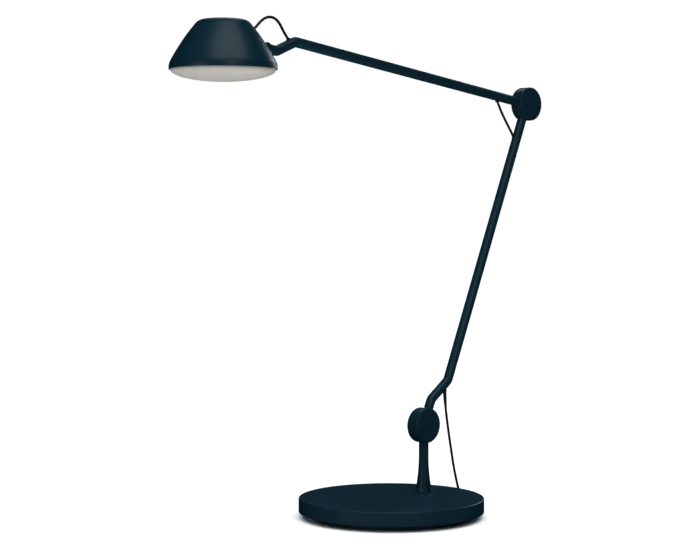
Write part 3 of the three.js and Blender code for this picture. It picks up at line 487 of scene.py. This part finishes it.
TIE_ROOM = 2.6  # from the outermost turns' centres to the strap's outside
TIE_HEIGHT = COIL_LAYERS * PITCH + 0.9
TIE_STEPS = 8
TIE_ROUND = 7.6  # the strap's corners are pulled in to this distance from its middle
TIE_THICKNESS = 0.8
TIE_HALF_WIDTH = 4
TIE_LOWEST = 0.05


def coil_tie():
    """A strap round the coil's section."""
    low, high = 0.0, TIE_HEIGHT
    inner, outer = COIL_RADII[-1] - TIE_ROOM, COIL_RADII[0] + TIE_ROOM
    corners = [(inner, low), (outer, low), (outer, high), (inner, high), (inner, low)]
    loop = []
    for (r0, z0), (r1, z1) in zip(corners, corners[1:]):
        for k in range(TIE_STEPS):
            loop.append((r0 + (r1 - r0) * k / TIE_STEPS, z0 + (z1 - z0) * k / TIE_STEPS))
    middle = Vector(((inner + outer) / 2, (low + high) / 2))
    points, faces = [], []
    for r, z in loop:
        away = Vector((r, z)) - middle
        corner = min(1.0, TIE_ROUND / away.length)
        outside = middle + away * corner
        inside = outside - away.normalized() * TIE_THICKNESS
        for across, along in ((outside, -TIE_HALF_WIDTH), (outside, TIE_HALF_WIDTH),
                              (inside, TIE_HALF_WIDTH), (inside, -TIE_HALF_WIDTH)):
            points.append((COIL_CENTRE[0] - across.x, COIL_CENTRE[1] + along,
                           max(TIE_LOWEST, across.y)))
    count = len(loop)
    for i in range(count):
        j = (i + 1) % count
        for k in range(4):
            n = (k + 1) % 4
            faces.append([4 * i + k, 4 * i + n, 4 * j + n, 4 * j + k])
    return points, faces


tie = piece("coil_tie", coil_tie(), PAD, "base")

# ---- Base ------------------------------------------------------------------------------------
cover_inside = BASE_RADIUS - COVER_WALL
cover = eased([
    (0, BASE_TOP), (BASE_RADIUS, BASE_TOP, 1.5), (BASE_RADIUS, COVER_BOTTOM, 0.5),
    (cover_inside, COVER_BOTTOM, 0.4), (cover_inside, BASE_TOP - COVER_WALL, 1),
    (0, BASE_TOP - COVER_WALL),
])
piece("base_disc", lathe(cover, LARGEST), PAINT, "base", "base_cover")
foot = eased([
    (0, FOOT_BOTTOM), (FOOT_RADIUS, FOOT_BOTTOM, 0.8), (FOOT_RADIUS, FOOT_TOP, 0.5), (0, FOOT_TOP),
])
piece("base_foot", lathe(foot, LARGEST), PAINT, "base", "base_foot_plate")


GROOVE_PITCH = 14
GROOVE_DEPTH = 0.5
GROOVE_FLOOR = (0.4, 1.6)  # where its floor starts and ends, from the groove's start
GROOVE_WIDTH = 2


def ribbed_pad():
    """A thin pad whose underside has shallow concentric grooves."""
    profile = [(0, 0)]
    for radius in range(GROOVE_PITCH, 100, GROOVE_PITCH):
        profile.append((radius, 0))
        profile += [(radius + part, GROOVE_DEPTH) for part in GROOVE_FLOOR]
        profile.append((radius + GROOVE_WIDTH, 0))
    profile += [(PAD_RADIUS, 0, 0.4), (PAD_RADIUS, PAD_HEIGHT, 0.4), (0, PAD_HEIGHT)]
    return lathe(eased(profile), LARGEST)


piece("base_pad_ribbed", ribbed_pad(), PAD, "base", "base_pad")


# ---- Hinges ----------------------------------------------------------------------------------
# The halves are solid: the studs, nuts and washers inside them have no holes of their own here.
POCKET_DEPTH = 1.6
NUT_POCKET = 11  # radii
SCREW_POCKET = 4.6
ROOM_DEPTH = 20
ROOM_GAP = 2 * GAP
CAP_RADIUS = 10.7
CAP_FLOOR = 7.4
CAP_FACE = DISC_FACE - 0.1
CAP_GROOVE = 8.25  # its middle's radius


def half_disc(centre, radius, face, edge, rear, pocket=0):
    """Half of a hinge, with a round pocket in the rear one's face."""
    profile = [(0, GAP / 2), (radius, GAP / 2, 0.3), (radius, face, edge)]
    if pocket:
        profile += [(pocket, face, 0.5), (pocket, face - POCKET_DEPTH), (0, face - POCKET_DEPTH)]
    else:
        profile += [(0, face)]
    points = eased(profile, 8)
    if not rear:
        points = [(r, -y) for r, y in points]
    return lathe(points, FINE, "Y", centre)


def half_room(centre, radius, rear):
    """The room of the other half of a hinge, which a tube's end doesn't enter."""
    low, high = (-ROOM_DEPTH, GAP / 2) if rear else (-GAP / 2, ROOM_DEPTH)
    room = radius + ROOM_GAP
    profile = [(0, low), (room, low), (room, high), (0, high)]
    return lathe(profile, FINE, "Y", centre)


def hinge_cap(centre):
    """The turned cap over a hinge's nut, with a shallow dish and a fine groove."""
    profile = eased([
        (0, CAP_FLOOR), (CAP_RADIUS, CAP_FLOOR), (CAP_RADIUS, CAP_FACE, 0.4),
        (CAP_GROOVE + 0.35, CAP_FACE, 0.15), (CAP_GROOVE + 0.15, CAP_FACE - 0.3),
        (CAP_GROOVE - 0.15, CAP_FACE - 0.3), (CAP_GROOVE - 0.35, CAP_FACE, 0.15),
        (3, CAP_FACE - 0.15), (0, CAP_FACE - 0.35),
    ])
    return lathe(profile, MEDIUM, "Y", centre)


piece("lower_hinge_rear_cap", hinge_cap(LOWER_HINGE), PAINT, "base", "lower_hinge_cap")
piece("elbow_rear_cap", hinge_cap(ELBOW), PAINT, "upper_arm", "elbow_cap")

# ---- Post ------------------------------------------------------------------------------------
POST_PROFILE = [
    (10.6, 27.8), (9.8, 33), (9, 39), (8.1, 46), (7.2, 55), (6.6, 66), (6.43, 82), (6.43, 98),
]


POST_FOOT_RADIUS = 11


def post():
    flare = [tuple(p) for p in curve_through(POST_PROFILE, 5)]
    foot_z = BASE_TOP + GAP
    edge = eased([(0, foot_z), (POST_FOOT_RADIUS, foot_z, 0.4), POST_PROFILE[0]])[1:-1]
    profile = [(0, foot_z), *edge, *flare, (POST_PROFILE[-1][0], LOWER_HINGE[2]),
               (0, LOWER_HINGE[2])]
    stem = lathe(profile, MEDIUM, "Z", (LOWER_HINGE[0], 0, 0))
    stem = trimmed(stem, half_room(LOWER_HINGE, DISC_RADIUS, True))
    return together(stem, half_disc(LOWER_HINGE, DISC_RADIUS, DISC_FACE, DISC_EDGE, True, NUT_POCKET))


piece("post_turned", post(), PAINT, "base", "post")


# ---- Arms ------------------------------------------------------------------------------------
def lower_arm():
    route = bent_route([LOWER_HINGE, *LOWER_BENDS, ELBOW], LOWER_BEND_RADIUS)
    rooms = [half_room(centre, DISC_RADIUS, False) for centre in (LOWER_HINGE, ELBOW)]
    bar = trimmed(swept(route, TUBE_RADIUS, MEDIUM), *rooms)
    discs = [half_disc(centre, DISC_RADIUS, DISC_FACE, DISC_EDGE, False)
             for centre in (LOWER_HINGE, ELBOW)]
    return together(bar, *discs)


def upper_arm():
    route = bent_route([ELBOW, *UPPER_BENDS, SHADE_HINGE], UPPER_BEND_RADIUS)
    bar = trimmed(
        swept(route, TUBE_RADIUS, MEDIUM),
        half_room(ELBOW, DISC_RADIUS, True), half_room(SHADE_HINGE, SMALL_DISC_RADIUS, False))
    large = half_disc(ELBOW, DISC_RADIUS, DISC_FACE, DISC_EDGE, True, NUT_POCKET)
    small = half_disc(SHADE_HINGE, SMALL_DISC_RADIUS, SMALL_FACE, SMALL_DISC_EDGE, False)
    return together(bar, large, small)


piece("lower_arm_tube", lower_arm(), PAINT, "lower_arm", "lower_arm")
piece("upper_arm_tube", upper_arm(), PAINT, "upper_arm", "upper_arm")


BUSH_INSIDE = -1.2  # how far a sleeve or ring reaches into its hole
RELIEF_BORE = 2.1
RELIEF_LENGTH = 20
RELIEF_GROOVES = 6
RELIEF_PITCH = 2.8
RELIEF_TAPER = 0.09  # for each groove


def strain_relief():
    """A tapered sleeve with a root flange and grooves that let it bend."""
    profile = [(RELIEF_BORE, BUSH_INSIDE), (2.7, BUSH_INSIDE), (2.7, 0.3), (3, 0.5, 0.2),
               (3, 1.3, 0.3), (2.6, 1.5)]
    for k in range(RELIEF_GROOVES):
        low = 2.6 + RELIEF_PITCH * k
        outside = 2.65 - RELIEF_TAPER * k
        profile += [(outside, low, 0.1), (outside - 0.25, low + 0.2), (outside - 0.25, low + 1),
                    (outside - 0.03, low + 1.2, 0.1)]
    profile += [(RELIEF_BORE, RELIEF_LENGTH, 0.2), (1.8, RELIEF_LENGTH), (1.8, 2),
                (RELIEF_BORE, BUSH_INSIDE)]
    return aimed(lathe(eased(profile, 3), SMALL), LEAD_EXIT, EXIT_WAY)


def grommet(place, way):
    """A bush's ring round a lead hole."""
    profile = [(2, BUSH_INSIDE), (2.7, BUSH_INSIDE), (2.7, -0.2), (3.1, -0.2, 0.2), (3.1, 0.6, 0.3),
               (2.5, 0.9, 0.2), (2, 0.7), (2, BUSH_INSIDE)]
    return aimed(lathe(eased(profile, 4), SMALL), place, way)


GROMMETS = [
    ("lower_arm_grommet", "lower_arm", (240.6, 0, 495.6), (-0.58, 0, 0.81)),
    ("upper_arm_grommet_rear", "upper_arm", (206, 0, 544.4), (0.5, 0, -0.87)),
    ("upper_arm_grommet_front", "upper_arm", (-179.4, 0, 603.4), (-0.62, 0, 0.78)),
    ("shade_grommet", "shade", (-242.2, 0, 605.5), (0.77, 0, 0.64)),
]
piece("strain_relief_sleeve", strain_relief(), BLACK, "lower_arm", "mains_strain_relief")
for node, body, place, way in GROMMETS:
    piece(f"{node}_ring", grommet(place, way), BLACK, body, node)

# ---- Shade -----------------------------------------------------------------------------------
SHADE_OUTLINE = [
    (64.1, 562), (63.9, 566.4), (62.7, 570.9), (57.6, 580.3), (51.8, 589.6), (45.6, 599),
    (40.5, 606), (36.7, 610.7), (33.1, 615.3), (30.7, 617.7), (27.1, 619.7), (22.5, 620.7),
    (16, CROWN_Z), (9.6, CROWN_Z),
]
SHADE_AXIS = (SHADE_X, 0, 0)


def offset_in(profile, distance):
    """The same profile moved in towards the axis and down, at right angles to itself."""
    moved = []
    for i, here in enumerate(profile):
        way = Vector(profile[min(i + 1, len(profile) - 1)]) - Vector(profile[max(i - 1, 0)])
        normal = Vector((-way.y, way.x)).normalized()
        moved.append(tuple(Vector(here) + normal * distance))
    return moved


def shade_shell():
    outer = [tuple(p) for p in curve_through(SHADE_OUTLINE, 5)]
    inner = offset_in(outer, SHADE_WALL)
    lip = eased([outer[1], (outer[0][0], RIM_Z, 0.5), (inner[0][0], RIM_Z, 0.5), inner[1]])
    profile = [*lip[1:-1], *inner[1:], *reversed(outer[1:]), lip[1]]
    return lathe(profile, LARGEST, "Z", SHADE_AXIS)


OPAL_WALL = 2
OPAL_STEPS = 40
OPAL_COLLAR = 4


def diffuser():
    """An opal bowl, half an ellipse in section, with a collar inside the shade's rim."""
    outside, inside = [], []
    for i in range(OPAL_STEPS + 1):
        angle = math.pi / 2 * i / OPAL_STEPS
        across, down = math.sin(angle), math.cos(angle)
        outside.append((DIFFUSER_RADIUS * across, RIM_Z - DIFFUSER_DROP * down))
        inside.append(((DIFFUSER_RADIUS - OPAL_WALL) * across,
                       RIM_Z - (DIFFUSER_DROP - OPAL_WALL) * down))
    collar_top = RIM_Z + OPAL_COLLAR
    collar = [(DIFFUSER_RADIUS, collar_top), (DIFFUSER_RADIUS - OPAL_WALL, collar_top)]
    return lathe([*outside, *collar, *reversed(inside)], LARGEST, "Z", SHADE_AXIS)


BUTTON_STEM = (1.6, 609.6)  # radius and underside
BUTTON_SKIRT = (612.9, 615.6)  # underside and top
BEZEL_RADIUS = 9.2
BEZEL_LOW = 617


def button():
    skirt = BUTTON_RADIUS + 1.4
    stem, stem_low = BUTTON_STEM
    low, high = BUTTON_SKIRT
    profile = [(0, stem_low), (stem, stem_low), (stem, low), (skirt, low), (skirt, high),
               (BUTTON_RADIUS, high), (BUTTON_RADIUS, 621.4, 0.6), (5, 621.3), (0, 621)]
    return lathe(eased(profile), MEDIUM, "Z", SHADE_AXIS)


def bezel():
    bore = BUTTON_RADIUS + GAP
    top = CROWN_Z + 0.3
    profile = [(bore, BEZEL_LOW), (BEZEL_RADIUS, BEZEL_LOW), (BEZEL_RADIUS, top, 0.3),
               (bore, top, 0.2), (bore, BEZEL_LOW)]
    return lathe(eased(profile), MEDIUM, "Z", SHADE_AXIS)


SPRING_LOW = 606
SPRING_HIGH = 612
SPRING_TURNS = 3
SPRING_RADIUS = 5.2
SPRING_WIRE = 0.45  # radius


def button_spring():
    """The wire spring under the button, with its end turns closer together."""
    route = []
    steps = SPRING_TURNS * 32
    for i in range(steps + 1):
        t = i / steps
        angle = 2 * math.pi * SPRING_TURNS * t
        climb = t - 0.1 * math.sin(2 * math.pi * t)
        route.append((SHADE_X + SPRING_RADIUS * math.cos(angle), SPRING_RADIUS * math.sin(angle),
                      SPRING_LOW + (SPRING_HIGH - SPRING_LOW) * climb))
    return swept(route, SPRING_WIRE, 12)


def knuckle():
    """The shade's half of the small hinge, its collar and the neck through the shade's wall."""
    x, y, z = SHADE_HINGE
    collar = lathe(eased([(0, 0), (6.3, 0), (6.3, 9.5), (5, 9.5), (5, 27.4), (0, 27.4)]), SMALL)
    collar = aimed(collar, (x + 2, y, z), (-1, 0, 0))
    collar = trimmed(collar, half_room(SHADE_HINGE, SMALL_DISC_RADIUS, True))
    disc = half_disc(SHADE_HINGE, SMALL_DISC_RADIUS, SMALL_FACE, SMALL_DISC_EDGE, True, SCREW_POCKET)
    return together(collar, disc)


def hinge_screw():
    """A shoulder screw with a hexagonal socket, seen in the small hinge's rear face."""
    profile = eased([(0, -4.9), (2.3, -4.9), (2.3, 3.7), (4.2, 3.7), (4.2, 6, 0.4), (0, 6)])
    socket = lathe([(0, 4.6), (1.6, 4.6), (1.6, 8), (0, 8)], 6, "Y", SHADE_HINGE)
    return trimmed(lathe(profile, SMALL, "Y", SHADE_HINGE), socket)


piece("shade_spun_shell", shade_shell(), PAINT, "shade", "shade_shell")
piece("shade_opal_bowl", diffuser(), OPAL, "shade", "diffuser")
piece("shade_button", button(), PAINT, "button", "dimmer_button")
piece("shade_button_bezel", bezel(), PAINT, "shade", "button_bezel")
piece("shade_hinge_knuckle", knuckle(), PAINT, "shade", "shade_knuckle")
spring = piece("shade_button_coil", button_spring(), STEEL, "shade", "button_spring")
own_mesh(spring)
piece("shade_hinge_shoulder_screw", hinge_screw(), STEEL, "upper_arm", "shade_hinge_screw")

# ---- CAD pieces kept as they are -------------------------------------------------------------
# A later word wins over an earlier one.
KEPT = {
    "ballast": IRON, "screw": STEEL, "bolt": STEEL, "washer": STEEL, "stud": STEEL,
    "nut": STEEL, "friction": FIBRE, "hinge_washer": FIBRE, "spring": STEEL, "sink": ALUMINIUM,
    "led_board": BOARD, "driver_board": BOARD, "led_board_screw": STEEL, "reflector": ENAMEL,
    "ring": ENAMEL, "switch": BLACK, "lead": JACKET,
}


def dress_kept_nodes():
    for name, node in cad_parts.items():
        looks = [candidate for word, candidate in KEPT.items() if word in name]
        look = (looks or [PAINT])[-1][0]
        for material_slot in node.material_slots:
            material_slot.material = look


dress_kept_nodes()


# ---- Floor and light -------------------------------------------------------------------------
def add_floor():
    half = 100
    mesh = bpy.data.meshes.new("floor")
    mesh.from_pydata([(-half, -half, 0), (half, -half, 0), (half, half, 0), (-half, half, 0)], [],
                     [(0, 1, 2, 3)])
    floor = bpy.data.objects.new("floor", mesh)
    bpy.context.scene.collection.objects.link(floor)
    pale = bpy.data.materials.new("floor_white")
    pale.use_nodes = True
    shader = pale.node_tree.nodes["Principled BSDF"]
    shader.inputs["Base Color"].default_value = (0.94, 0.94, 0.94, 1)
    shader.inputs["Roughness"].default_value = 0.9
    shader.inputs["Specular IOR Level"].default_value = 0.1
    mesh.materials.append(pale)
    floor.visible_glossy = False


def add_world():
    world = bpy.data.worlds.new("studio")
    world.use_nodes = True
    back = world.node_tree.nodes["Background"]
    back.inputs["Color"].default_value = (1, 1, 1, 1)
    back.inputs["Strength"].default_value = 1.02
    bpy.context.scene.world = world
    world.cycles_visibility.glossy = False
    world.cycles_visibility.diffuse = False


def add_sun(name, strength, elevation, azimuth, spread):
    """A soft light from far away. The azimuth is measured from +X towards +Y, in degrees."""
    data = bpy.data.lights.new(name, "SUN")
    data.energy = strength
    data.angle = math.radians(spread)
    lamp = bpy.data.objects.new(name, data)
    up, round_ = math.radians(elevation), math.radians(azimuth)
    way = Vector((math.cos(up) * math.cos(round_), math.cos(up) * math.sin(round_), math.sin(up)))
    lamp.rotation_euler = way.to_track_quat("Z", "Y").to_euler()
    bpy.context.scene.collection.objects.link(lamp)
    return lamp


SOFTBOX_COLOUR = (0.86, 0.96, 1.0)


def add_softbox(name, place, aim, size, energy):
    """A rectangular soft light, in metres, that faces the point aim."""
    data = bpy.data.lights.new(name, "AREA")
    data.shape = "RECTANGLE"
    data.size, data.size_y = size
    data.energy = energy
    data.color = SOFTBOX_COLOUR
    lamp = bpy.data.objects.new(name, data)
    lamp.location = place
    lamp.rotation_euler = (Vector(place) - Vector(aim)).to_track_quat("Z", "Y").to_euler()
    bpy.context.scene.collection.objects.link(lamp)
    return lamp


add_floor()
add_world()
CAMERA_AZIMUTH = -135.6  # direction from the lamp to the camera, from +X towards +Y
sky = add_sun("sky_soft", 3.65, 86, CAMERA_AZIMUTH, 100)
sky.visible_glossy = False
MIDDLE = (0.0, 0.0, 0.35)
SHADE_MIDDLE = (SHADE_X * MM, 0.0, 0.6)
add_softbox("shade_key", (-0.50, -0.66, 2.1), SHADE_MIDDLE, (1.7, 1.2), 11)
add_softbox("front_soft", (-1.1, -2.0, 1.1), MIDDLE, (1.2, 1.2), 6)
add_softbox("rim_soft", (2.3, 0.7, 1.0), MIDDLE, (0.6, 1.2), 9)
add_softbox("back_soft", (1.5, 1.7, 2.9), MIDDLE, (1.4, 1.4), 8)
add_softbox("left_soft", (-2.2, 0.0, 0.5), MIDDLE, (0.8, 0.8), 4.5)
low = add_softbox("low_fill", (-1.5, -1.5, 0.16), (0.0, 0.0, 0.02), (1.6, 0.3), 0.5)
low.data.spread = math.radians(30)
low.visible_glossy = False
bounce = add_softbox("floor_bounce", (SHADE_X * MM, 0.0, 0.02), SHADE_MIDDLE, (0.25, 0.25), 0.87)
bounce.data.spread = math.radians(70)
bounce.visible_camera = False
bounce.visible_glossy = False

# ---- Finish ----------------------------------------------------------------------------------
bpy.context.scene.view_settings.view_transform = "Standard"
bpy.context.view_layer.update()
